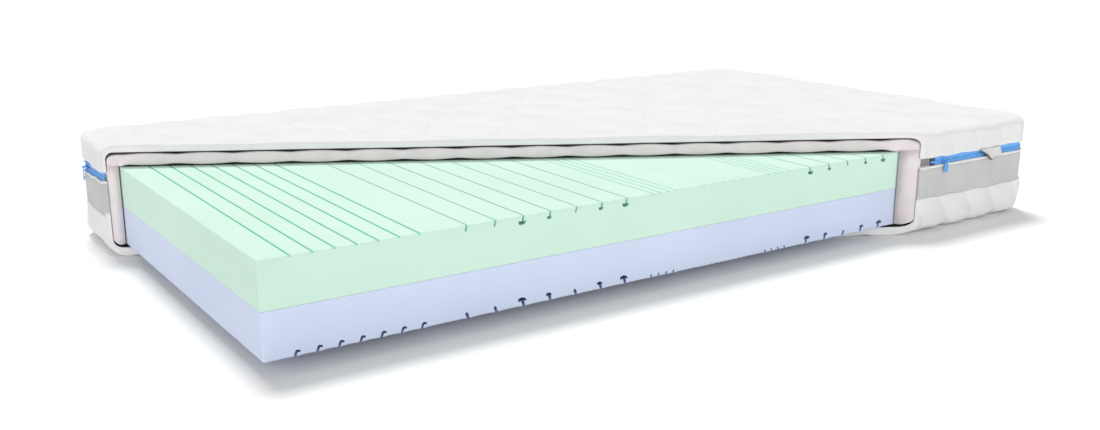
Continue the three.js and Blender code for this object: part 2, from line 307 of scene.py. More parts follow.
def boundary_loop(faces):
    """The vertices round an open surface's edge, in the order of its faces' winding."""
    used = set()
    for face in faces:
        for i, a in enumerate(face):
            used.add((a, face[(i + 1) % len(face)]))
    following = {a: b for a, b in used if (b, a) not in used}
    start = min(following)
    loop = [start]
    while following[loop[-1]] != start:
        loop.append(following[loop[-1]])
    return loop


LIP_SHARES = (0.1, 0.3, 0.5, 0.7, 0.9)  # of the way from the outer to the inner face


def thickened(outer, inner, faces, bulge):
    """Points and faces of a closed shell whose edge is rounded outwards by bulge, one value or one for each
    point."""
    count = len(outer)
    loop = boundary_loop(faces)
    bulge = np.broadcast_to(bulge, count)[loop][:, None]
    normals = vertex_normals(outer, faces)
    on = np.array(loop)
    ahead = outer[np.roll(on, -1)] - outer[on]
    back = outer[on] - outer[np.roll(on, 1)]
    outward = unit(np.cross(unit(ahead) + unit(back), normals[on]))
    strips = []
    for share in LIP_SHARES:
        level = outer[on] * (1 - share) + inner[on] * share
        strips.append(level + outward * bulge * math.sqrt(1 - (2 * share - 1) ** 2))
    points = np.concatenate([outer, inner, *strips])
    made = list(faces) + [tuple(v + count for v in reversed(f)) for f in faces]
    size = len(loop)
    levels = [loop]
    for i in range(len(LIP_SHARES)):
        levels.append([2 * count + i * size + j for j in range(size)])
    levels.append([v + count for v in loop])
    for upper, lower in zip(levels, levels[1:]):
        for j in range(size):
            k = (j + 1) % size
            made.append((upper[k], upper[j], lower[j], lower[k]))
    return points, made


def sweep(path, profile):
    """A closed profile, a list of (offset, z) with values for all stations or one for each, along the path,
    with its two ends closed. Returns points, faces and the (run, round) of each face corner."""
    rings = [np.column_stack([path.at(o), np.broadcast_to(z, path.count)]) for o, z in profile]
    grid = np.stack(rings, axis=1)
    stations, size = grid.shape[:2]
    girth = np.linalg.norm(np.diff(grid[0], axis=0, append=grid[0][:1]), axis=1)
    round_it = np.concatenate([[0], np.cumsum(girth)])
    faces, uvs = [], []
    for i in range(stations - 1):
        for j in range(size):
            k = (j + 1) % size
            faces.append((i * size + j, (i + 1) * size + j, (i + 1) * size + k, i * size + k))
            low, high = round_it[j], round_it[j + 1]
            here, there = path.run[i], path.run[i + 1]
            uvs += [(here, low), (there, low), (there, high), (here, high)]
    ends = [tuple(reversed([(stations - 1) * size + j for j in range(size)])), tuple(range(size))]
    for end in ends:
        faces.append(end)
        uvs += [(0, 0)] * size
    return grid.reshape(-1, 3), faces, uvs


def wall_faces(rings, size, closed=False):
    """Quads between rings of points, each ring with size points."""
    made = []
    for i in range(rings if closed else rings - 1):
        n = (i + 1) % rings
        for j in range(size):
            k = (j + 1) % size
            made.append((i * size + j, i * size + k, n * size + k, n * size + j))
    return made


def consistent(thing):
    """Turns the faces of a closed piece outwards."""
    mesh = thing.data
    mesh.calc_loop_triangles()
    points = np.zeros(len(mesh.vertices) * 3)
    mesh.vertices.foreach_get("co", points)
    points = points.reshape(-1, 3)
    triangles = np.zeros(len(mesh.loop_triangles) * 3, np.int32)
    mesh.loop_triangles.foreach_get("vertices", triangles)
    a, b, c = (points[triangles.reshape(-1, 3)[:, i]] for i in range(3))
    if (a * np.cross(b, c)).sum() < 0:
        mesh.flip_normals()


def finish_piece(thing, body, nodes):
    consistent(thing)
    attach(thing, body)
    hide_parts(*nodes)


SIDES = ("front", "right", "back", "left")


def all_sides(name):
    return [f"{name}_{side}" for side in SIDES]


# Quilting


def seam_distance(u, v, quilt):
    """Distance across to the nearest seam. Seams run along v, pitch apart, and sway from side to side. In a
    mirrored quilt every second seam sways the other way, which leaves leaf shapes between them."""
    sway = quilt["sway"] * np.sin(2 * np.pi * (v + quilt.get("shift", 0)) / quilt["wave"])
    pitch = quilt["pitch"]
    if quilt["mirrored"]:
        even = abs((u - sway + pitch) % (2 * pitch) - pitch)
        odd = abs((u + sway) % (2 * pitch) - pitch)
        return np.minimum(even, odd)
    return abs((u - sway + pitch / 2) % pitch - pitch / 2)


def puff(distance, height, reach):
    return height * (1 - np.exp(-((distance / reach) ** 1.4)))


TOP_QUILT = {"pitch": 107 * MM, "sway": 34 * MM, "wave": 260 * MM, "mirrored": True}
FLOOR_QUILT = {"pitch": 120 * MM, "sway": 30 * MM, "wave": 240 * MM, "mirrored": True}
SIDE_QUILT = {"pitch": 92 * MM, "sway": 13 * MM, "wave": 170 * MM, "mirrored": False, "shift": 30 * MM}
LOWER_QUILT = {"pitch": 92 * MM, "sway": 20 * MM, "wave": 190 * MM, "mirrored": False, "shift": 45 * MM}
PAD_QUILT = {"pitch": 104.7 * MM, "sway": 0.0, "wave": 1.0, "mirrored": False}
PAD_PINCH_X = -866 * MM


# Materials


def srgb(red, green, blue):
    """A linear colour from 8-bit display values."""
    def linear(value):
        value /= 255
        return value / 12.92 if value <= 0.04045 else ((value + 0.055) / 1.055) ** 2.4

    return (linear(red), linear(green), linear(blue), 1)


class Shader:
    """A Principled material under construction."""

    def __init__(self, name, roughness):
        self.material = bpy.data.materials.new(name)
        self.material.use_nodes = True
        self.tree = self.material.node_tree
        self.surface = self.tree.nodes["Principled BSDF"]
        self.set(self.surface, Roughness=roughness)

    def feed(self, socket, value):
        if isinstance(value, bpy.types.NodeSocket):
            self.tree.links.new(value, socket)
        else:
            socket.default_value = value

    def set(self, node, **values):
        for key, value in values.items():
            self.feed(node.inputs[key.replace("_", " ")], value)

    def node(self, kind, settings=None, **values):
        made = self.tree.nodes.new(f"ShaderNode{kind}")
        for key, value in (settings or {}).items():
            setattr(made, key, value)
        self.set(made, **values)
        return made

    def math(self, operation, *values):
        made = self.node("Math", {"operation": operation})
        for socket, value in zip(made.inputs, values):
            self.feed(socket, value)
        return made.outputs[0]

    def place(self):
        return self.node("TexCoord").outputs["Object"]

    def cloth_uv(self):
        uv = self.node("UVMap", {"uv_map": "cloth"}).outputs["UV"]
        apart = self.node("SeparateXYZ", Vector=uv)
        return apart.outputs["X"], apart.outputs["Y"]

    def noise(self, scale, detail=2.0, vector=None):
        made = self.node("TexNoise", Scale=scale, Detail=detail, Vector=vector or self.place())
        return made.outputs["Factor" if "Factor" in made.outputs else 0]

    def cells(self, scale, randomness=1.0):
        made = self.node("TexVoronoi", Scale=scale, Randomness=randomness, Vector=self.place())
        return made.outputs["Distance"]

    def blend(self, share, first, second):
        made = self.node("Mix", {"data_type": "RGBA"})
        for index, value in zip((0, 6, 7), (share, first, second)):
            self.feed(made.inputs[index], value)
        return made.outputs[2]

    def range(self, value, low, high, to_low=0.0, to_high=1.0):
        made = self.node("MapRange", Value=value, From_Min=low, From_Max=high, To_Min=to_low, To_Max=to_high)
        return made.outputs["Result"]

    def colour(self, value):
        self.set(self.surface, Base_Color=value)

    def bump(self, *layers):
        """Each layer is (height in 0..1, depth in metres)."""
        normal = None
        for height, depth in layers:
            values = {"Height": height, "Distance": depth, "Strength": 1.0}
            if normal is not None:
                values["Normal"] = normal
            normal = self.node("Bump", **values).outputs["Normal"]
        self.set(self.surface, Normal=normal)

    def sheen(self, weight, roughness=0.5):
        self.set(self.surface, Sheen_Weight=weight, Sheen_Roughness=roughness)


def seam_socket(shader, quilt):
    """The seam distance of seam_distance(), as nodes."""
    u, v = shader.cloth_uv()
    turn = shader.math("MULTIPLY", shader.math("ADD", v, quilt.get("shift", 0)), 2 * math.pi / quilt["wave"])
    sway = shader.math("MULTIPLY", shader.math("SINE", turn), quilt["sway"])
    left = shader.math("SUBTRACT", u, sway)
    pitch = quilt["pitch"]
    if not quilt["mirrored"]:
        return shader.math("PINGPONG", left, pitch / 2)
    even = shader.math("PINGPONG", left, pitch)
    odd = shader.math("SUBTRACT", pitch, shader.math("PINGPONG", shader.math("ADD", u, sway), pitch))
    return shader.math("MINIMUM", even, odd)


def stitched(shader, quilt, thread, base, depth=0.6 * MM):
    """Adds a row of stitches along the seams: (colour, bump layer)."""
    distance = seam_socket(shader, quilt)
    _, v = shader.cloth_uv()
    dash = shader.math("LESS_THAN", shader.math("FRACT", shader.math("MULTIPLY", v, 1 / (4 * MM))), 0.72)
    row = shader.math("MULTIPLY", shader.range(distance, 0.5 * MM, 1.1 * MM, 1.0, 0.0), dash)
    crease = shader.range(distance, 0.0, 6 * MM, 0.0, 1.0)
    colour = shader.blend(shader.math("MULTIPLY", row, 0.6), base, thread)
    height = shader.math("ADD", crease, shader.math("MULTIPLY", row, 0.5))
    return colour, (height, depth)


def knit_cover(name, tint, shade, quilt):
    """Stretch knit: fine rounded stitches, a little sheen, soft mottling."""
    shader = Shader(name, 0.85)
    mottle = shader.range(shader.noise(9.0, 3.0), 0.35, 0.65)
    base = shader.blend(mottle, tint, shade)
    knit = shader.cells(620.0, 0.35)
    base = shader.blend(shader.range(knit, 0.2, 0.75, 0.0, 0.25), base, shade)
    colour, stitches = stitched(shader, quilt, srgb(230, 230, 231), base)
    shader.colour(colour)
    shader.bump(stitches, (shader.noise(55.0, 3.0), 0.9 * MM), (knit, -0.25 * MM))
    shader.sheen(0.15)
    return shader.material


def shade_painted_lining(name, tint, shade, dark, start, end):
    """The backing cloth inside the quilting, with painted shade: dark where it shows in the gaps at the cut,
    and its own lighter cloth from the start to the end distance behind it."""
    shader = Shader(name, 0.95)
    weave = shader.cells(500.0, 0.2)
    cloth = shader.blend(shader.range(weave, 0.1, 0.7), tint, shade)
    place = shader.node("SeparateXYZ", Vector=shader.place())
    across = shader.math("MULTIPLY", shader.math("SUBTRACT", place.outputs["X"], CUT_LEFT.x), CUT_BEHIND.x)
    along = shader.math("MULTIPLY", shader.math("SUBTRACT", place.outputs["Y"], CUT_LEFT.y), CUT_BEHIND.y)
    behind = shader.math("ADD", across, along)
    shader.colour(shader.blend(shader.range(behind, start, end), dark, cloth))
    shader.bump((weave, -0.2 * MM))
    return shader.material


def fibre_padding(name, tint, shade):
    """Fluffy polyester wadding: long soft noise and fine fibres."""
    shader = Shader(name, 0.95)
    clump = shader.noise(32.0, 4.0)
    fibre = shader.noise(900.0, 3.0)
    base = shader.blend(shader.range(clump, 0.3, 0.7), tint, shade)
    shader.colour(shader.blend(shader.range(fibre, 0.35, 0.7, 0.0, 0.22), base, shade))
    shader.bump((clump, 0.7 * MM), (fibre, 0.35 * MM))
    shader.sheen(0.2)
    return shader.material


def spacer_mesh(name, tint, hole):
    """Knitted 3D mesh: staggered rows of small holes."""
    shader = Shader(name, 0.9)
    u, v = shader.cloth_uv()
    across = shader.math("COSINE", shader.math("MULTIPLY", u, 2 * math.pi / (5.2 * MM)))
    down = shader.math("COSINE", shader.math("MULTIPLY", v, 2 * math.pi / (4.2 * MM)))
    holes = shader.range(shader.math("MULTIPLY", across, down), 0.15, 0.65)
    fibre = shader.noise(700.0, 2.0)
    mottle = shader.range(shader.noise(14.0, 2.0), 0.3, 0.7, 0.0, 0.3)
    strands = shader.blend(mottle, tint, srgb(190, 190, 192))
    shader.colour(shader.blend(shader.math("MULTIPLY", holes, 0.55), strands, hole))
    shader.bump((holes, -0.9 * MM), (fibre, 0.2 * MM))
    return shader.material


def foam(name, tint, shade, pore):
    """Open-cell foam: tiny pores, faint cloudiness."""
    shader = Shader(name, 0.92)
    cloud = shader.range(shader.noise(4.5, 3.0), 0.35, 0.65)
    cell = shader.cells(1100.0)
    pores = shader.range(shader.cells(420.0), 0.0, 0.22, 0.5, 0.0)
    base = shader.blend(cloud, tint, shade)
    shader.colour(shader.blend(pores, base, pore))
    shader.bump((shader.noise(60.0, 4.0), 0.35 * MM), (cell, 0.18 * MM))
    shader.sheen(0.1)
    return shader.material


def foam_slot(name, near, deep, face_z):
    """The cut walls of a slot, with painted shade that darkens them with depth below the face they open in.
    """
    shader = Shader(name, 0.95)
    height = shader.node("SeparateXYZ", Vector=shader.place()).outputs["Z"]
    depth = shader.math("ABSOLUTE", shader.math("SUBTRACT", height, face_z))
    shader.colour(shader.blend(shader.range(depth, 0.5 * MM, 5 * MM), near, deep))
    shader.bump((shader.cells(700.0), 0.2 * MM))
    return shader.material


def woven_tape(name, tint, shade):
    shader = Shader(name, 0.75)
    u, v = shader.cloth_uv()
    ribs = shader.math("SINE", shader.math("MULTIPLY", v, 2 * math.pi / (1.1 * MM)))
    picks = shader.math("SINE", shader.math("MULTIPLY", u, 2 * math.pi / (1.5 * MM)))
    weave = shader.range(shader.math("MULTIPLY", ribs, picks), -1, 1)
    shader.colour(shader.blend(weave, tint, shade))
    shader.bump((weave, 0.25 * MM), (shader.noise(80.0, 2.0), 0.3 * MM))
    shader.sheen(0.15)
    return shader.material


def moulded(name, tint, shade, roughness, grain=900.0):
    """Moulded or lacquered hardware with a fine grain and slightly rubbed tone."""
    shader = Shader(name, roughness)
    rub = shader.range(shader.noise(160.0, 4.0), 0.35, 0.7)
    shader.colour(shader.blend(rub, tint, shade))
    rough = shader.range(shader.noise(300.0, 2.0), 0.3, 0.7, roughness - 0.08, roughness + 0.1)
    shader.set(shader.surface, Roughness=rough)
    shader.bump((shader.noise(grain, 2.0), 0.05 * MM))
    return shader.material


def floor_material():
    shader = Shader("studio_floor", 0.9)
    shader.colour(shader.blend(shader.noise(1.5, 1.0), (0.95, 0.944, 0.925, 1), (0.96, 0.954, 0.937, 1)))
    return shader.material


WHITE = srgb(236, 236, 236)
OFF_WHITE = srgb(231, 231, 232)
LIGHT_CLOTH = srgb(226, 226, 229)
GREY_CLOTH = srgb(212, 212, 216)
MATERIALS = {
    "top": knit_cover("cover_knit_top", WHITE, OFF_WHITE, TOP_QUILT),
    "side": knit_cover("cover_knit_side", WHITE, OFF_WHITE, SIDE_QUILT),
    "lower_side": knit_cover("cover_knit_lower_side", WHITE, OFF_WHITE, LOWER_QUILT),
    "floor_quilt": knit_cover("cover_knit_underside", WHITE, OFF_WHITE, FLOOR_QUILT),
    # Linings and pad backing: painted shade, dark near the cut where the layers part and their own lighter
    # cloth further behind
    "shade_painted_lining": shade_painted_lining("cover_lining_painted_shade", LIGHT_CLOTH, GREY_CLOTH, srgb(40, 40, 44), 10 * MM, 60 * MM),
    "floor_lining_painted_shade": shade_painted_lining("floor_lining_painted_shade", LIGHT_CLOTH, GREY_CLOTH, srgb(40, 40, 44), 60 * MM, 160 * MM),
    "scrim_painted_shade": shade_painted_lining("pad_scrim_painted_shade", LIGHT_CLOTH, GREY_CLOTH, srgb(34, 42, 39), 14 * MM, 70 * MM),
    "padding": fibre_padding("fibre_padding", srgb(235, 225, 228), srgb(225, 216, 218)),
    "mesh": spacer_mesh("spacer_mesh", srgb(222, 222, 223), srgb(168, 168, 170)),
    "binding": woven_tape("binding_tape", srgb(243, 243, 243), srgb(232, 232, 232)),
    "top_foam": foam("comfort_foam", srgb(212, 242, 227), srgb(208, 239, 223), srgb(186, 224, 204)),
    "base_foam": foam("base_foam", srgb(214, 224, 247), srgb(209, 219, 244), srgb(190, 202, 234)),
    # Slot walls: painted shade, darker deeper in the slot
    "top_slot": foam_slot("comfort_foam_slot", srgb(176, 238, 210), srgb(134, 206, 174), CORE_TOP),
    "base_slot": foam_slot("base_foam_slot", srgb(158, 168, 216), srgb(112, 122, 176), CORE_BOTTOM),
    "zip_tape": woven_tape("zip_tape", srgb(122, 192, 255), srgb(100, 176, 252)),
    # The first 10 mm of each zip tape: painted navy shade
    "zip_tape_start_painted_shade": woven_tape("zip_tape_start_painted_shade", srgb(58, 72, 128), srgb(44, 56, 108)),
    # Pad faces in the zip slit near the cut: painted grey shade
    "zip_slit_painted_shade": woven_tape("zip_slit_painted_shade", srgb(150, 146, 144), srgb(132, 128, 126)),
    "cut_edge": fibre_padding("cut_edge", srgb(240, 234, 238), srgb(235, 229, 233)),
    "zip_coil": moulded("zip_coil", srgb(124, 192, 255), srgb(102, 176, 250), 0.4),
    "slider": moulded("slider_lacquer", srgb(104, 176, 246), srgb(82, 154, 232), 0.35),
    "flap": knit_cover("flap_knit", WHITE, OFF_WHITE, SIDE_QUILT),
    # The flap's underside and edge: painted brown-grey shade
    "flap_under_painted_shade": woven_tape("flap_underside_painted_shade", srgb(126, 112, 106), srgb(98, 86, 82)),
}


# Cover


def rounded(centre, radius, start, end, steps):
    """Points (offset, z) on an arc from the angle start to end, in degrees above the outward direction."""
    made = []
    for i in range(steps + 1):
        angle = math.radians(start + (end - start) * i / steps)
        made.append((centre[0] + radius * math.cos(angle), centre[1] + radius * math.sin(angle)))
    return made


def upright(offset, start, end, steps):
    """Points (offset, z) straight up or down from start to end, leaving out the start."""
    return [(offset, start + (end - start) * i / steps) for i in range(1, steps + 1)]


def ripple(run, seed, size):
    """A gentle repeatable wave along the perimeter."""
    waves = ((0.31, 1.0), (0.173, 0.7), (0.092, 0.45), (0.051, 0.25))
    total = 0.0
    for i, (length, weight) in enumerate(waves, 1):
        total = total + weight * np.sin(2 * np.pi * run / length + seed * i)
    return size * total / 1.6


JOIN = 4 * MM


def over_core(x, y):
    """1 well inside the core's outline, 0 outside it."""
    return 1 - smooth(np.maximum(abs(x) - HALF_X, abs(y) - HALF_Y), -16 * MM, 1 * MM)


def at_cut(x, y):
    """1 at the cut, 0 from a little way behind it. Layers part here, which leaves dark gaps between them."""
    return 1 - smooth(behind_cut(x, y), 1.9 * MM, 5 * MM)


def cut_lift(x, y, size):
    """How far a cut cover edge curls up, by its distance behind the cut."""
    wave = 0.75 + 0.25 * np.sin(along_cut(x, y) * 2 * np.pi / 0.37 + 0.6)
    return size * wave * np.exp(-((behind_cut(x, y) / (32 * MM)) ** 2))


def cut_faces(points, faces):
    """Which faces lie on the cut."""
    middles = np.array([points[list(face)].mean(axis=0) for face in faces])
    return behind_cut(middles[:, 0], middles[:, 1]) < 1.5 * MM


def shell_piece(name, skin, outer, inner, bulge, laid, materials, kinds, cut_kind=None):
    """A closed shell from its two faces. laid holds the points that place the cloth pattern. kinds are the
    materials of the outer panel and rim, the inner panel and rim, and the lip round the edge. The lip's faces
    on the cut may have one of their own."""
    points, faces = thickened(outer, inner, skin.faces, bulge)
    count = len(skin.faces)
    lips = len(faces) - 2 * count
    rim = count - skin.panel_faces
    tags = np.repeat(kinds, [skin.panel_faces, rim, skin.panel_faces, rim, lips])
    if cut_kind is not None:
        tags[2 * count :][cut_faces(points, faces[2 * count :])] = cut_kind
    uvs = 2 * skin.corner_uvs(laid) + [(0.0, 0.0)] * (4 * lips)
    return mesh_object(name, points, faces, [MATERIALS[key] for key in materials], tags, uvs)


def upper_cover():
    path = Path(7 * MM, 10)
    edge_radius = 20 * MM
    inner_radius = 15 * MM
    outer_profile = rounded((COVER_OFFSET - edge_radius, COVER_TOP - edge_radius), edge_radius, 82, 0, 7)
    outer_profile += upright(COVER_OFFSET, COVER_TOP - edge_radius, HEM_Z, 7)
    inside = INNER_OFFSET + 1 * MM
    inner_profile = rounded((inside - inner_radius, PANEL_BOTTOM - inner_radius), inner_radius, 82, 0, 7)
    inner_profile += upright(inside, PANEL_BOTTOM - inner_radius, HEM_Z, 7)
    skin = Skin(path, JOIN, 8 * MM, len(outer_profile))
    outer = skin.points(COVER_TOP, outer_profile)
    inner = skin.points(PANEL_BOTTOM, inner_profile)
    normals = vertex_normals(outer, skin.faces)
    on_panel = skin.on_panel
    run = path.run[skin.station]
    x, y, z = outer.T
    top_relief = puff(seam_distance(x, y, TOP_QUILT), 4.4 * MM, 27 * MM) - 2.8 * MM
    side_relief = puff(seam_distance(run, z, SIDE_QUILT), 2.4 * MM, 24 * MM) - 1.8 * MM
    side_relief += ripple(run, 2.1, 0.8 * MM)
    down = np.where(on_panel, 0.0, smooth(COVER_TOP - z, 4 * MM, 24 * MM))
    relief = (1 - down) * top_relief + down * side_relief
    relief *= 1 - 0.75 * smooth(COVER_TOP - z, COVER_TOP - HEM_Z - 12 * MM, COVER_TOP - HEM_Z)
    relief *= smooth(behind_cut(x, y), -20 * MM, 45 * MM)
    outer = outer + normals * relief[:, None]
    inner = inner - normals * (0.2 * relief[:, None])
    lift = cut_lift(x, y, 4 * MM) * (1 - smooth(COVER_TOP - z, 20 * MM, 60 * MM))
    raised = 1.2 * MM * at_cut(x, y) * smooth(inner[:, 2], PANEL_BOTTOM - 15 * MM, PANEL_BOTTOM - 2 * MM)
    lowered = (0.8 * MM + pad_pinch(x)) * (1 - at_cut(x, y)) * over_core(x, y)
    inner[:, 2] += raised - np.where(on_panel, lowered, 0)
    hem_rise = 3.5 * MM + ripple(run, 1.3, 2 * MM) + ripple(4 * run, 2.9, 0.9 * MM)
    hem_rise += (path.zip_gap() + path.rise())[skin.station]
    hem = smooth(COVER_TOP - z, 30 * MM, COVER_TOP - HEM_Z) * np.where(on_panel, 0, hem_rise)
    outer[:, 2] += lift + hem
    inner[:, 2] += 0.1 * lift + hem
    lip = np.where(z > COVER_TOP - 40 * MM, 2.2 * MM, 1.2 * MM)
    laid = np.column_stack([x, y, z])
    # The inner faces take the lining, whose dark band at the cut is painted shade
    materials = ("top", "side", "shade_painted_lining", "cut_edge")
    cover = shell_piece("quilted_upper_cover", skin, outer, inner, lip, laid, materials, (0, 1, 2, 2, 1), 3)
    finish_piece(cover, "upper_cover", ["top_quilt_panel", *all_sides("upper_border")])


def lower_cover():
    path = Path(7 * MM, 10)
    edge_radius = 26 * MM
    inner_radius = 18 * MM
    floor_top = 20 * MM
    inside = INNER_OFFSET + 1 * MM
    steps = 10
    crest = 1 - np.exp(-((seam_distance(path.run, LOWER_HEM_Z, LOWER_QUILT) / (24 * MM)) ** 2))
    top = LOWER_HEM_Z - 2 * MM + 4 * MM * crest + ripple(path.run, 0.4, 2 * MM) + 2 * path.rise()
    outer_profile = rounded((COVER_OFFSET - edge_radius, edge_radius), edge_radius, -82, 0, 6)
    outer_profile += upright(COVER_OFFSET, edge_radius, top, steps)
    bend = floor_top + inner_radius
    inner_profile = rounded((inside - inner_radius, bend), inner_radius, -82, 0, 6)
    inner_profile += upright(inside, bend, top, steps)
    skin = Skin(path, JOIN, 11 * MM, len(outer_profile), flip=True)
    outer = skin.points(0.0, outer_profile)
    inner = skin.points(floor_top, inner_profile)
    normals = vertex_normals(outer, skin.faces)
    on_panel = skin.on_panel
    run = path.run[skin.station]
    x, y, z = outer.T
    seam = seam_distance(run, z, LOWER_QUILT)
    panel_relief = puff(seam_distance(x, y, FLOOR_QUILT), 4 * MM, 20 * MM) - 4 * MM
    side_relief = puff(seam, 8 * MM, 22 * MM) - 3.4 * MM + ripple(run, 0.9, 0.5 * MM)
    left = 1 - smooth(x, -HALF_X, -HALF_X + 0.2)
    up = np.where(on_panel, 0.0, smooth(z, 3 * MM, 18 * MM + 18 * MM * left))
    relief = (1 - up) * panel_relief + up * side_relief
    relief *= 1 - 0.6 * smooth(z, LOWER_HEM_Z - 14 * MM, LOWER_HEM_Z)
    outer = outer + normals * relief[:, None]
    outer[:, 2] = np.maximum(outer[:, 2], 0.2 * MM)
    raised = (FLOOR_PANEL_TOP - floor_top) * smooth(behind_cut(x, y), 10 * MM, 90 * MM)
    inner[:, 2] += np.where(on_panel, raised, 0)
    scallop = (1 + 4 * smooth(x, -HALF_X, 0)) * MM * np.exp(-((seam / (20 * MM)) ** 2))
    outer[:, 2] += np.where(on_panel, 0, (1 - smooth(z, 2 * MM, 24 * MM)) * scallop)
    laid = np.column_stack([x, y, z])
    # The inner faces take the floor lining, which is painted shade near the cut
    materials = ("floor_quilt", "lower_side", "floor_lining_painted_shade")
    cover = shell_piece("quilted_lower_cover", skin, outer, inner, 2 * MM, laid, materials, (0, 1, 2, 2, 1))
    finish_piece(cover, "lower_cover", ["bottom_quilt_panel", *all_sides("lower_border")])


def mesh_border():
    path = Path(7 * MM, 8)
    bottom = LOWER_HEM_Z - 8 * MM + 2 * path.rise()
    steps = 10
    top = MESH_TOP - 0.7 * path.zip_gap() + path.rise()
    shares = [i / steps for i in range(steps + 1)]
    thickness = 2.6 * MM

    def offset_at(share):
        middle = math.sin(math.pi * share)
        return MESH_OFFSET - 0.8 * MM + middle * (0.6 * MM + ripple(path.run, 3.7, 1.1 * MM))

    outer = [(offset_at(share), bottom + (top - bottom) * share) for share in shares]
    inner = [(offset_at(share) - thickness, bottom + (top - bottom) * share) for share in reversed(shares)]
    points, faces, uvs = sweep(path, outer + inner)
    border = mesh_object("spacer_mesh_border", points, faces, [MATERIALS["mesh"]], None, uvs)
    finish_piece(border, "lower_cover", all_sides("mesh_border"))


def binding():
    path = Path(7 * MM, 8)
    moved = path.rise() - 0.7 * path.zip_gap()
    low = BINDING_LOW.z - 3 * MM + moved
    high = BINDING_HIGH.z + moved
    outside = BINDING_HIGH.x - HALF_X
    inside = INNER_OFFSET + 0.8 * MM
    lift = ripple(path.run, 3.7, 0.5 * MM)
    corner = 0.8 * MM
    profile = [
        (outside - corner + lift, low),
        (outside + lift, low + corner),
        (outside + lift, high - corner),
        (outside - corner + lift, high),
        (inside + corner, high),
        (inside, high - corner),
        (inside, low),
    ]
    points, faces, uvs = sweep(path, profile)
    piece = mesh_object("mesh_binding", points, faces, [MATERIALS["binding"]], None, uvs)
    finish_piece(piece, "lower_cover", ["mesh_top_binding"])


# Padding


def pad_pinch(x):
    """How far the top pad is drawn in at its seams."""
    return 3.3 * MM * (1 - puff(seam_distance(x - PAD_PINCH_X, 0.0, PAD_QUILT), 1.0, 28 * MM))


def top_pad():
    path = Path(8 * MM, 8)
    radius = 19 * MM
    crown = TOP_PAD_HIGH.z - 1 * MM
    underside = TOP_PAD_LOW.z + 0.4 * MM
    outside = path_pad_offset(path, INNER_OFFSET - 1 * MM)
    outer_profile = rounded((outside - radius, crown - radius), radius, 82, 10, 6)
    outer_profile.append((outside, crown - radius))
    outer_profile.append((outside, underside + 1.5 * MM))
    inner_profile = [(np.minimum(o, outside - 1.5 * MM), underside) for o, _ in outer_profile]
    skin = Skin(path, JOIN, 8 * MM, len(outer_profile))
    outer = skin.points(crown, outer_profile)
    inner = skin.points(underside, inner_profile)
    x, y, z = outer.T
    outer[:, 2] -= smooth(z, crown - 10 * MM, crown - 1 * MM) * pad_pinch(x)
    inner[:, 2] += over_core(x, y) * at_cut(x, y) * (2.2 * MM + pad_pinch(x))
    bulge = 0.4 * MM + 2.1 * MM * over_core(x, y)
    laid = np.column_stack([x, y, z])
    # The underside takes the pad backing, which is painted shade near the cut
    kinds = (0, 0, 1, 0, 0)
    pad = shell_piece("channelled_top_pad", skin, outer, inner, bulge, laid, ("padding", "scrim_painted_shade"), kinds)
    finish_piece(pad, "inner_pad", ["top_pad"])


def path_pad_offset(path, cut_offset):
    """The padding swells towards its cut ends, where nothing holds it in."""
    held = PAD_OFFSET + 1 * MM
    return held + (cut_offset - held) * (1 - smooth(path.from_cut(), 5 * MM, 60 * MM))


def side_pad():
    path = Path(8 * MM, 12, -2 * MM)
    top = CORE_TOP + 3 * MM
    parted = 1 - smooth(path.from_cut(), 15 * MM, 70 * MM)
    inside = path.core_clearance(1 * MM) + 2 * MM * parted
    outside = path_pad_offset(path, INNER_OFFSET) + ripple(path.run, 5.2, 0.5 * MM)
    low = PAD_BOTTOM - 1.8 * MM
    radius = 14 * MM
    outer = rounded((outside - radius, low + radius), radius, -82, -10, 6)
    outer.append((outside, low + radius))
    outer += upright(outside, low + radius, top, 8)
    toe = [(inside, low + 5 * MM), (inside + 1.5 * MM, low + 1.4 * MM)]
    inner = [(inside, top - (top - low - 5 * MM) * i / 8) for i in range(8)]
    profile = toe + outer + inner
    points, faces, uvs = sweep(path, profile)
    size = len(profile)
    tags = np.zeros(len(faces), int)
    round_it = np.arange(len(faces) - 2) % size
    # Inner faces take the pad backing, which is painted shade near the cut
    tags[:-2][round_it >= size - len(inner)] = 1
    middles = np.array([points[list(face)].mean(axis=0) for face in faces[:-2]])
    behind = behind_cut(middles[:, 0], middles[:, 1])
    # Pad faces seen through the zip slit close to the cut: painted grey shade of the recess
    in_zip_slit = (middles[:, 2] > MESH_TOP) & (middles[:, 2] < HEM_Z + 10 * MM)
    tags[:-2][in_zip_slit & (behind > 4 * MM) & (behind < 40 * MM) & (tags[:-2] == 0)] = 2
    materials = [MATERIALS[name] for name in ("padding", "scrim_painted_shade", "zip_slit_painted_shade")]
    pad = mesh_object("side_padding", points, faces, materials, tags, uvs)
    finish_piece(pad, "inner_pad", all_sides("side_pad"))


# Foam core

# Each zone of slots, as shares of the length. A face's cuts are (kinds, depth, lean, width) in millimetres.
END_ZONES = (
    {"start": 0.0273, "pitch": 0.0197, "top": ("ggggggg", 3, 0, 4.4), "bottom": ("hhhhhhh", 11, 4, 4.8)},
    {"start": 0.193, "pitch": 0.03, "top": ("sslmsml", 17, -4, 3), "bottom": ("sslmsml", 17, -5, 5.4)},
    {"start": 0.405, "pitch": 0.0098, "top": ("gggg", 2.5, 0, 2.2), "bottom": ("ssss", 10, 3.5, 3.6)},
)
CENTRE_ZONE = {"start": 0.474, "pitch": 0.013, "top": ("ggggg", 3, 0, 0.6), "bottom": ("ggggg", 3, 0, 0.8)}
SLOT_DEPTHS = {"g": 1.0, "h": 1.0, "s": 0.7, "m": 0.9, "l": 1.0}
# Left wing, right wing and height of the caps, in millimetres
SLOT_CAPS = {"h": (0.4, 4.6, 4.4), "m": (3.6, 3.6, 5.6), "l": (6.4, 6.4, 6.8)}


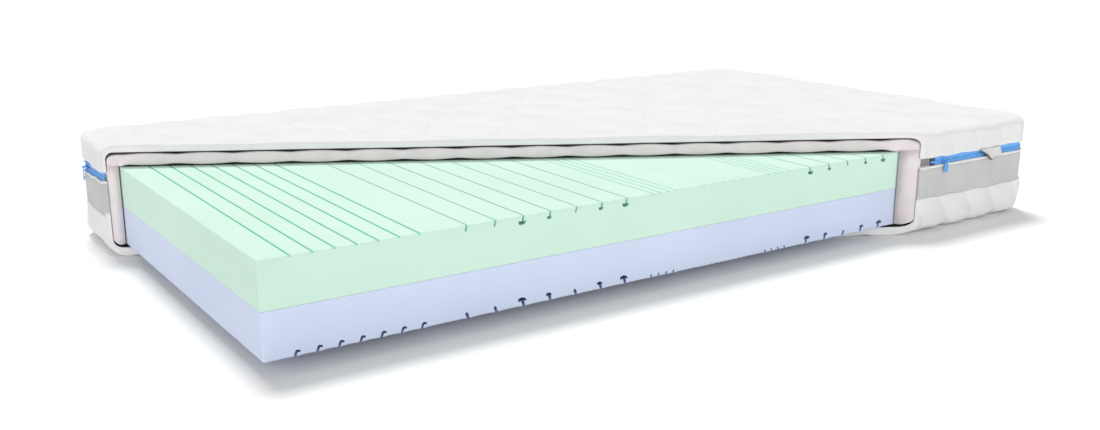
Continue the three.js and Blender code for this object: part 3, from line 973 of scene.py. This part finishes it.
def slot_outline(kind, depth, lean, width):
    """One slot as (sideways, depth) points, from its left lip round to its right one. A cap has drooping
    wings beyond its stem."""
    half = width / 2
    deep = depth * SLOT_DEPTHS[kind]
    lean_to = lean * SLOT_DEPTHS[kind]
    if kind not in SLOT_CAPS:
        side = deep - min(half, 0.3 * deep)
        return [(-half, 0), (lean_to - half, side), (lean_to, deep), (lean_to + half, side), (half, 0)]
    left_wing, right_wing, cap = (value * MM for value in SLOT_CAPS[kind])
    neck = deep - cap
    neck_lean = lean_to * neck / deep
    return [
        (-half, 0),
        (neck_lean - half, neck + 0.8 * MM),
        (neck_lean - half - left_wing, neck - 0.4 * MM),
        (lean_to - half - 0.7 * left_wing, deep - 1.8 * MM),
        (lean_to, deep),
        (lean_to + half + 0.7 * right_wing, deep - 1.8 * MM),
        (neck_lean + half + right_wing, neck - 0.4 * MM),
        (neck_lean + half, neck + 0.8 * MM),
        (half, 0),
    ]


def slots(face):
    """All slots of one face ("top" or "bottom") from left to right, as (centre x, outline)."""
    made = []
    for zone, signs in [*((zone, (1, -1)) for zone in END_ZONES), (CENTRE_ZONE, (1,))]:
        kinds, depth, lean, width = zone[face]
        for sign in signs:
            for i, kind in enumerate(kinds):
                x = sign * ((zone["start"] + i * zone["pitch"]) * 2 * HALF_X - HALF_X)
                outline = slot_outline(kind, depth * MM, lean * MM, width * MM)
                if sign < 0:
                    outline = [(-side, depth) for side, depth in reversed(outline)]
                made.append((x, outline))
    return sorted(made, key=lambda slot: slot[0])


def foam_outline(flat_z, slotted_z, face):
    """The layer's outline in X and Z, how far each of its points may be rounded off at the layer's ends, and
    whether a slot's wall follows the point."""
    inward = 1 if flat_z > slotted_z else -1
    radius = 3 * MM
    points, rounding, wall = [], [], []

    def add(x, z, amount, slot_wall=False):
        points.append((x, z))
        rounding.append(amount)
        wall.append(slot_wall)

    def corner(sign, z, towards):
        for angle in (0, 30, 60, 90) if sign > 0 else (90, 60, 30, 0):
            turn = math.radians(angle)
            x = sign * (HALF_X - radius + radius * math.sin(turn))
            add(x, z + towards * radius * (1 - math.cos(turn)), 1.0)

    corner(-1, slotted_z, inward)
    last = -HALF_X + radius
    for centre, outline in slots(face):
        gap = centre + outline[0][0] - last
        for i in range(1, max(2, round(gap / (12 * MM)))):
            add(last + gap * i / max(2, round(gap / (12 * MM))), slotted_z, 1.0)
        for i, (side, depth) in enumerate(outline):
            add(centre + side, slotted_z + inward * depth, 0.15, i < len(outline) - 1)
        last = centre + outline[-1][0]
    corner(1, slotted_z, inward)
    add(HALF_X, flat_z, 0.05)
    add(-HALF_X, flat_z, 0.05)
    return np.array(points), np.array(rounding), np.array(wall)


def foam_layer(name, node, flat_z, slotted_z, face, materials):
    outline, rounding, wall = foam_outline(flat_z, slotted_z, face)
    count = len(outline)
    ahead = unit(np.roll(outline, -1, axis=0) - outline)
    along = unit(ahead + np.roll(ahead, 1, axis=0))
    area = (outline[:, 0] * np.roll(outline[:, 1], -1) - np.roll(outline[:, 0], -1) * outline[:, 1]).sum()
    inward = np.column_stack([-along[:, 1], along[:, 0]]) * math.copysign(1, area)
    radius = 3.5 * MM
    stations = []
    for angle in (0, 22.5, 45, 67.5, 90):
        turn = math.radians(angle)
        stations.append((-HALF_Y + radius * (1 - math.cos(turn)), radius * (1 - math.sin(turn))))
    middle = [(-HALF_Y + 2 * HALF_Y * i / 24, 0.0) for i in range(1, 24)]
    rings = [*stations, *middle, *[(-y, inset) for y, inset in reversed(stations)]]
    points = []
    for y, inset in rings:
        ring = outline + inward * (inset * rounding)[:, None]
        points.append(np.column_stack([ring[:, 0], np.full(count, y), ring[:, 1]]))
    faces = wall_faces(len(rings), count)
    tags = [int(wall[i % count]) for i in range(len(faces))]
    cap_outline = points[0][:, [0, 2]]
    last = (len(rings) - 1) * count
    for corners in geometry.tessellate_polygon([[Vector((p[0], p[1], 0)) for p in cap_outline]]):
        a, b, c = (Vector(cap_outline[i]) for i in corners)
        turned = (b - a).cross(c - a) * area > 0
        corners = list(corners) if turned else list(reversed(corners))
        faces.append(tuple(reversed(corners)))
        faces.append(tuple(last + v for v in corners))
        tags += [0, 0]
    layer = mesh_object(name, np.concatenate(points), faces, materials, tags)
    mark_sharp(layer, 40)
    finish_piece(layer, "foam_core", [node])


def mark_sharp(thing, degrees):
    """Flat-looking faces meet in crisp edges above this angle."""
    thing.data.set_sharp_from_angle(angle=math.radians(degrees))


def foam_core():
    base = [MATERIALS["base_foam"], MATERIALS["base_slot"]]
    comfort = [MATERIALS["top_foam"], MATERIALS["top_slot"]]
    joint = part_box("core_top_layer")[0].z
    foam_layer("foam_base_layer", "core_base_layer", LAYER_JOINT, CORE_BOTTOM, "bottom", base)
    foam_layer("foam_comfort_layer", "core_top_layer", joint, CORE_TOP, "top", comfort)


# Zip


def zip_tapes():
    path = Path(8 * MM, 8, ZIP_SETBACK)
    for name in ("lower", "upper"):
        low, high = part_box(f"{name}_zip_tape")
        outside = high.x - HALF_X
        inside = outside - 0.7 * MM
        wobble = ripple(path.run, 4.4, 0.15 * MM)
        steps = 6
        moved = path.rise() + 1.2 * MM * (1 if name == "upper" else -1)
        heights = [low.z + moved + (high.z - low.z) * i / steps for i in range(steps + 1)]
        outer = [(outside + wobble, z) for z in heights]
        inner = [(inside + wobble, z) for z in reversed(heights)]
        points, faces, uvs = sweep(path, outer + inner)
        # The tape's first 10 mm and its start face: painted navy shade
        tape_start_painted_shade = path.run[[min(face) // (2 * steps + 2) for face in faces[:-2]]] < 10 * MM
        tags = [*tape_start_painted_shade.astype(int), 0, 1]
        materials = [MATERIALS["zip_tape"], MATERIALS["zip_tape_start_painted_shade"]]
        tape = mesh_object(f"zip_tape_{name}", points, faces, materials, tags, uvs)
        finish_piece(tape, f"{name}_cover", [f"{name}_zip_tape"])


COIL_PITCH = 3 * MM


def zip_coils():
    path = Path(COIL_PITCH / 4, 24, ZIP_SETBACK)
    turn = 2 * np.pi * path.run / COIL_PITCH
    bead = 0.3 * MM * np.sin(turn)
    for name in ("lower", "upper"):
        low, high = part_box(f"{name}_zip_coil")
        outside = high.x - HALF_X - 0.3 * MM
        inside = outside - 3 * MM
        gape = path.zip_gap() * (1 if name == "upper" else -1)
        middle = (low.z + high.z) / 2 + gape + path.rise()
        half = (high.z - low.z) / 2
        sway = 0.12 * MM * np.cos(turn)
        profile = [
            (inside, middle - half + sway),
            (outside - 0.5 * MM + bead, middle - half + sway),
            (outside + bead, middle - 0.45 * half + sway),
            (outside + bead, middle + 0.45 * half + sway),
            (outside - 0.5 * MM + bead, middle + half + sway),
            (inside, middle + half + sway),
        ]
        points, faces, uvs = sweep(path, profile)
        coil = mesh_object(f"zip_coil_{name}", points, faces, [MATERIALS["zip_coil"]], None, uvs)
        finish_piece(coil, f"{name}_cover", [f"{name}_zip_coil"])


# Hardware, made for the front side in (along the zip, outwards, up) and then turned to its side


class Solid:
    """Collects parts of one small piece."""

    def __init__(self):
        self.points, self.faces = [], []

    def add_walls(self, points, rings, size, closed=False):
        """Rings of points joined by walls, with both ends closed unless the rings close on themselves."""
        faces = wall_faces(rings, size, closed)
        if not closed:
            faces.append(tuple(reversed(range(size))))
            faces.append(tuple((rings - 1) * size + j for j in range(size)))
        start = len(self.points)
        self.points += [Vector(p) for p in points]
        self.faces += [tuple(v + start for v in face) for face in faces]

    def slab(self, outline, low, high, bevel):
        """An outline of (along, up) points, from low to high outwards, with rounded edges."""
        centre = sum((Vector(p) for p in outline), Vector((0, 0))) / len(outline)
        size = max((Vector(p) - centre).length for p in outline)
        shape = [(low, 1.0), (low + 0.3 * bevel, 0.3), (low + bevel, 0.0)]
        shape += [(high - bevel, 0.0), (high - 0.3 * bevel, 0.3), (high, 1.0)]
        points = []
        for level, inset in shape:
            for p in outline:
                flat = centre + (Vector(p) - centre) * (1 - inset * bevel / size)
                points.append((flat.x, level, flat.y))
        self.add_walls(points, len(shape), len(outline))

    def tube(self, line, radius, sides=10, closed=False):
        """A round bar along a line of points."""
        line = [Vector(p) for p in line]
        count = len(line)
        points = []
        for i, p in enumerate(line):
            ahead = line[(i + 1) % count] if closed or i + 1 < count else p
            back = line[i - 1] if closed or i else p
            along = (ahead - back).normalized()
            if i == 0:
                across = along.orthogonal().normalized()
            else:
                across = (across - along * across.dot(along)).normalized()
            other = along.cross(across)
            for j in range(sides):
                angle = 2 * math.pi * j / sides
                points.append(p + radius * (math.cos(angle) * across + math.sin(angle) * other))
        self.add_walls(points, count, sides, closed)

    def place(self, name, to_frame, material):
        points = [to_frame @ p for p in self.points]
        thing = mesh_object(name, points, self.faces, [material])
        mark_sharp(thing, 50)
        return thing


def capsule(half_length, half_width, taper=1.0, steps=6):
    """A rounded outline along the first axis, narrower by taper at its far end."""
    made = []
    quarter = [math.pi / 2 * i / steps for i in range(steps + 1)]
    for sign in (1, -1):
        width = half_width * (taper if sign > 0 else 1.0)
        radius = 0.8 * width
        straight, side = half_length - radius, width - radius
        for a in quarter:
            made.append((sign * (straight + radius * math.sin(a)), sign * (side + radius * math.cos(a))))
        for a in quarter:
            made.append((sign * (straight + radius * math.cos(a)), -sign * (side + radius * math.sin(a))))
    return made


def circle(radius, count):
    turns = [2 * math.pi * i / count for i in range(count)]
    return [(radius * math.cos(turn), radius * math.sin(turn)) for turn in turns]


def side_matrix(side, position, height):
    """From (along, outwards, up) to the frame, for a slider on the front side or the left end."""
    if side == "front":
        return Matrix(((1, 0, 0, position), (0, -1, 0, -HALF_Y), (0, 0, 1, height), (0, 0, 0, 1)))
    return Matrix(((0, -1, 0, -HALF_X), (1, 0, 0, position), (0, 0, 1, height), (0, 0, 0, 1)))


def slider_piece(name, node, body, to_frame):
    solid = Solid()
    plate = capsule(7 * MM, 6 * MM, 0.8)
    solid.slab(plate, 26.8 * MM, 28.6 * MM, 0.5 * MM)
    solid.slab(plate, 21 * MM, 22.3 * MM, 0.4 * MM)
    solid.slab(capsule(3 * MM, 0.25 * MM), 21.5 * MM, 28 * MM, 0.05 * MM)
    arch = []
    for i in range(13):
        angle = math.pi * i / 12
        arch.append((-4.3 * MM * math.cos(angle), (28 + 5.5 * min(1, 1.6 * math.sin(angle))) * MM, 0))
    solid.tube(arch, 0.9 * MM)
    thing = solid.place(name, to_frame, MATERIALS["slider"])
    finish_piece(thing, body, [node])


BRIDGE = 33.5 * MM


def pull_eye(solid):
    for offset in (-2.4, -1.6, -0.8, 0.0, 0.8, 1.6, 2.4):
        ring = [(offset * MM, BRIDGE + y, z) for y, z in circle(1.75 * MM, 16)]
        solid.tube(ring, 0.5 * MM, 8, closed=True)


def front_pull(to_frame):
    solid = Solid()
    pull_eye(solid)
    outline = [(-2.6, -1.6), (-2.8, -4.5), (-5.4, -6.8), (-6.5, -9.5)]
    outline += [(-6.5, -22.5), (-5.9, -24.9), (-4.2, -26)]
    outline = [(x * MM, z * MM) for x, z in outline]
    outline += [(-x, z) for x, z in reversed(outline)]
    solid.slab(outline, BRIDGE - 0.8 * MM, BRIDGE + 0.8 * MM, 0.5 * MM)
    inset = [(x * 0.62, -16.5 * MM + (z + 16.5 * MM) * 0.55) for x, z in outline if z < -8 * MM]
    solid.slab(inset, BRIDGE - 1.25 * MM, BRIDGE + 1.25 * MM, 0.45 * MM)
    thing = solid.place("front_pull", to_frame, MATERIALS["slider"])
    finish_piece(thing, "front_pull", ["front_pull_tab"])


def end_pull(to_frame):
    solid = Solid()
    pull_eye(solid)
    stem = [(-2, -1.6), (-2, -17), (-1.4, -19.9), (1.4, -19.9), (2, -17), (2, -1.6)]
    solid.slab([(x * MM, z * MM) for x, z in stem], BRIDGE - 0.7 * MM, BRIDGE + 0.7 * MM, 0.45 * MM)
    loop = [(x, BRIDGE, z - 25 * MM) for x, z in circle(4.8 * MM, 32)]
    solid.tube(loop, 0.95 * MM, 10, closed=True)
    thing = solid.place("end_pull", to_frame, MATERIALS["slider"])
    finish_piece(thing, "end_pull", ["end_pull_ring"])


def hardware():
    low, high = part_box("front_slider")
    front = side_matrix("front", (low.x + high.x) / 2, (low.z + high.z) / 2)
    slider_piece("front_zip_slider", "front_slider", "front_slider", front)
    front_pull(front)
    low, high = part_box("end_slider")
    end = side_matrix("left", (low.y + high.y) / 2, (low.z + high.z) / 2)
    slider_piece("end_zip_slider", "end_slider", "end_slider", end)
    end_pull(end)
    low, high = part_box("zip_end_stop")
    solid = Solid()
    solid.slab(capsule(2 * MM, 3 * MM), 24.2 * MM, 27.2 * MM, 0.6 * MM)
    centre = side_matrix("front", (low.x + high.x) / 2, (low.z + high.z) / 2)
    stop = solid.place("zip_stop", centre, MATERIALS["zip_coil"])
    finish_piece(stop, "lower_cover", ["zip_end_stop"])


def garage_flap():
    """A small cover flap that hangs over the zip's closed end, with its near edge curled right away."""
    low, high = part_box("zip_garage_flap")
    columns, rows = 32, 10
    curl_length, curl_turn = 13 * MM, math.radians(125)
    top = high.z + 3.5 * MM
    points = []
    for j in range(rows + 1):
        v = j / rows
        near = low.x - 3 * MM + 32 * MM * v
        far = high.x - 5 * MM + 9 * MM * v
        width = far - near
        x, offset = far, 31.4 * MM
        row = []
        for i in range(columns + 1):
            left = width * (1 - i / columns)
            z = top - v * (27 * MM - 4 * MM * left / width)
            row.append((x, -HALF_Y - offset - 0.5 * MM * math.sin(140 * left), z))
            turn = curl_turn * max(0.0, 1 - left / curl_length) * smooth(v, -0.1, 0.5)
            step = width / columns
            x -= step * math.cos(turn)
            offset += step * math.sin(turn) + 0.02 * step * v
        points += reversed(row)
    points = np.array(points)
    faces = []
    for j in range(rows):
        for i in range(columns):
            a = j * (columns + 1) + i
            faces.append((a, a + columns + 1, a + columns + 2, a + 1))
    normals = vertex_normals(points, faces)
    inner = points - normals * 1.5 * MM
    whole, made = thickened(points, inner, faces, 0.5 * MM)
    # The underside and edge of the flap: painted brown-grey shade
    tags = np.zeros(len(made), int)
    tags[len(faces) :] = 1
    flap = mesh_object("zip_garage", whole, made, [MATERIALS["flap"], MATERIALS["flap_under_painted_shade"]], tags)
    finish_piece(flap, "upper_cover", ["zip_garage_flap"])


# Studio

FLOOR_REACH = 60.0
FLOOR_DROP = 0.5 * MM  # so that the lowest cloth isn't in the plane of the floor
WORLD_STRENGTH = 0.45
SUNS = (  # name, strength, spread in degrees, direction the light travels
    ("key", 2.0, 17, (-0.1, -0.4, -1.0)),
    ("fill", 1.25, 50, (0.5, 0.83, -0.2)),
)

# The fitted camera. Yaw, from the Y axis towards X, pitch and roll are in radians, the lens in millimetres
EYE = (-1.53764, -2.15082, 0.71113)
YAW, PITCH, ROLL = 0.59973, -0.25863, 0.00278
LENS = 37.05
SENSOR_WIDTH = 36.0
VIEW_REACH = 200.0


def studio():
    mesh = bpy.data.meshes.new("studio_floor")
    size = FLOOR_REACH
    corners = [(-size, -size, 0), (size, -size, 0), (size, size, 0), (-size, size, 0)]
    mesh.from_pydata(corners, [], [(0, 1, 2, 3)])
    mesh.materials.append(floor_material())
    floor = bpy.data.objects.new("studio_floor", mesh)
    floor.location.z = -FLOOR_DROP
    bpy.context.scene.collection.objects.link(floor)
    world = bpy.data.worlds.new("studio_world")
    world.use_nodes = True
    background = world.node_tree.nodes["Background"]
    background.inputs["Color"].default_value = (1, 1, 1, 1)
    background.inputs["Strength"].default_value = WORLD_STRENGTH
    bpy.context.scene.world = world
    for name, strength, spread, towards in SUNS:
        light = bpy.data.lights.new(name, "SUN")
        light.energy = strength
        light.angle = math.radians(spread)
        lamp = bpy.data.objects.new(name, light)
        lamp.rotation_euler = Vector(towards).to_track_quat("-Z", "Y").to_euler()
        bpy.context.scene.collection.objects.link(lamp)
    bpy.context.scene.view_settings.view_transform = "Standard"


def camera():
    ahead = Vector((math.cos(PITCH) * math.sin(YAW), math.cos(PITCH) * math.cos(YAW), math.sin(PITCH)))
    right = Vector((math.cos(YAW), -math.sin(YAW), 0))
    up = right.cross(ahead)
    turned_right = math.cos(ROLL) * right + math.sin(ROLL) * up
    turned_up = -math.sin(ROLL) * right + math.cos(ROLL) * up
    view = bpy.data.cameras.new("photo_view")
    view.sensor_width = SENSOR_WIDTH
    view.lens = LENS
    view.clip_end = VIEW_REACH
    eye = bpy.data.objects.new("photo_view", view)
    turn = Matrix((turned_right, turned_up, -ahead)).transposed().to_4x4()
    eye.matrix_world = Matrix.Translation(EYE) @ turn
    bpy.context.scene.collection.objects.link(eye)
    bpy.context.scene.camera = eye


camera()
upper_cover()
lower_cover()
mesh_border()
binding()
top_pad()
side_pad()
foam_core()
zip_tapes()
zip_coils()
hardware()
garage_flap()
studio()
